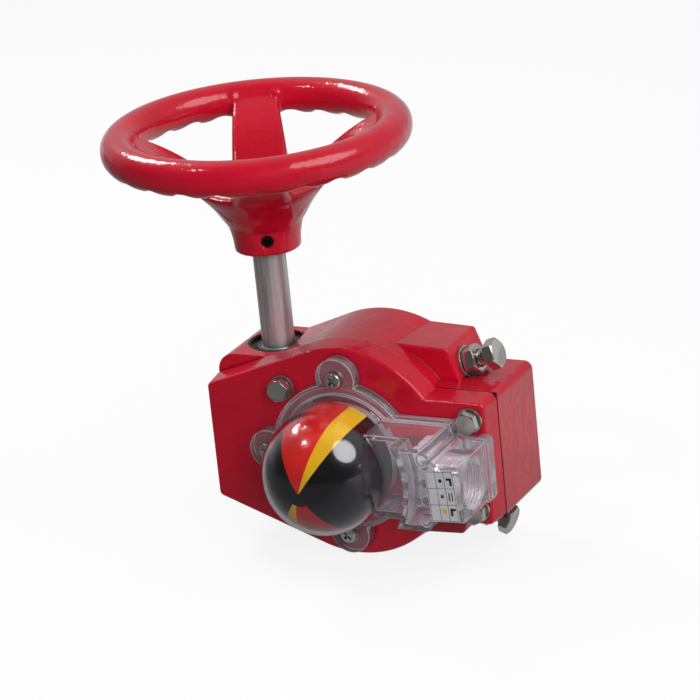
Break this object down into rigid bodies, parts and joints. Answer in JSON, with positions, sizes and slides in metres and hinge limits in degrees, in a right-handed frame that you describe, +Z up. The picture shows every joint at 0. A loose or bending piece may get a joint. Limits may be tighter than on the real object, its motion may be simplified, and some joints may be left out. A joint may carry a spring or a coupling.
{
  "type": "gear operator for quarter-turn valves",
  "caption": "Quarter-turn worm gear valve operator with a spoked handwheel, adjustable end stops and a ball position indicator under a clear cover that also houses a supervisory switch.",
  "frame": {"origin": "on the valve stem's axis, in the plane of the rear mounting face", "axes": "+Y along the stem towards the valve, -Y towards the indicator, +Z up the worm shaft towards the handwheel, +X from the worm towards the conduit entry"},
  "size_m": [0.2009, 0.1627, 0.2063],
  "materials": {
    "red_enamel": "gloss enamel over cast iron",
    "gasket_fibre": "matt fibre sheet",
    "bronze": "turned",
    "bearing_steel": "ground",
    "black_steel": "black phosphate",
    "plated_steel": "bright zinc or nickel plate",
    "clear_plastic": "clear moulded polycarbonate",
    "seal_rubber": "matt",
    "black_plastic": "moulded",
    "cream_plastic": "moulded",
    "shaft_steel": "turned and brushed",
    "ductile_iron": "cast, teeth cut",
    "yellow_plastic": "moulded",
    "red_plastic": "moulded",
    "grey_plastic": "moulded"
  },
  "bodies": {
    "housing": {"gear_housing": "red_enamel", "cover_gasket": "gasket_fibre", "front_cover": "red_enamel", "rear_hub_bush": "bronze", "front_hub_bush": "bronze", "lower_worm_bush": "bronze", "worm_thrust_washer": "bronze", "bearing_outer_ring": "bearing_steel", "bearing_balls": "bearing_steel", "bearing_shield": "seal_rubber", "bearing_circlip": "black_steel", "cover_bolts": "plated_steel", "cover_spring_washers": "plated_steel", "cover_washers": "plated_steel", "upper_stop_bolt": "plated_steel", "lower_stop_bolt": "plated_steel", "stop_lock_nuts": "plated_steel", "stop_washers": "plated_steel", "indicator_cover": "clear_plastic", "indicator_cover_seal": "seal_rubber", "indicator_cover_screws": "plated_steel", "indicator_cover_washers": "plated_steel", "supervisory_switch": "black_plastic", "switch_screws": "plated_steel", "terminal_block": "cream_plastic", "terminal_screws": "plated_steel"},
    "worm_drive": {"worm_shaft": "shaft_steel", "bearing_inner_ring": "bearing_steel", "handwheel": "red_enamel", "handwheel_set_screw": "black_steel"},
    "stem_drive": {"worm_gear_segment": "ductile_iron", "stem_seal": "seal_rubber", "indicator_spindle": "shaft_steel", "spindle_seal": "seal_rubber", "indicator_ball": "black_plastic", "indicator_flags_yellow": "yellow_plastic", "indicator_flags_red": "red_plastic", "switch_cam": "grey_plastic"},
    "plunger": {"switch_plunger": "grey_plastic"}
  },
  "joints": [
    {"name": "handwheel_turn", "type": "hinge", "parent": "housing", "child": "worm_drive", "pos_m": [-0.05, -0.0257, 0], "axis": [0, 0, 1], "range_deg": [-3600, 0]},
    {"name": "stem_turn", "type": "hinge", "parent": "housing", "child": "stem_drive", "pos_m": [0, -0.0257, 0], "axis": [0, 1, 0], "range_deg": [0, 90]},
    {"name": "plunger_slide", "type": "slide", "parent": "housing", "child": "plunger", "axis": [1, 0, 0], "range_m": [0, 0.001], "stiffness_N_per_m": 300}
  ],
  "couplings": [
    {"joint": "stem_turn", "follows": "handwheel_turn", "ratio": -0.025}
  ]
}
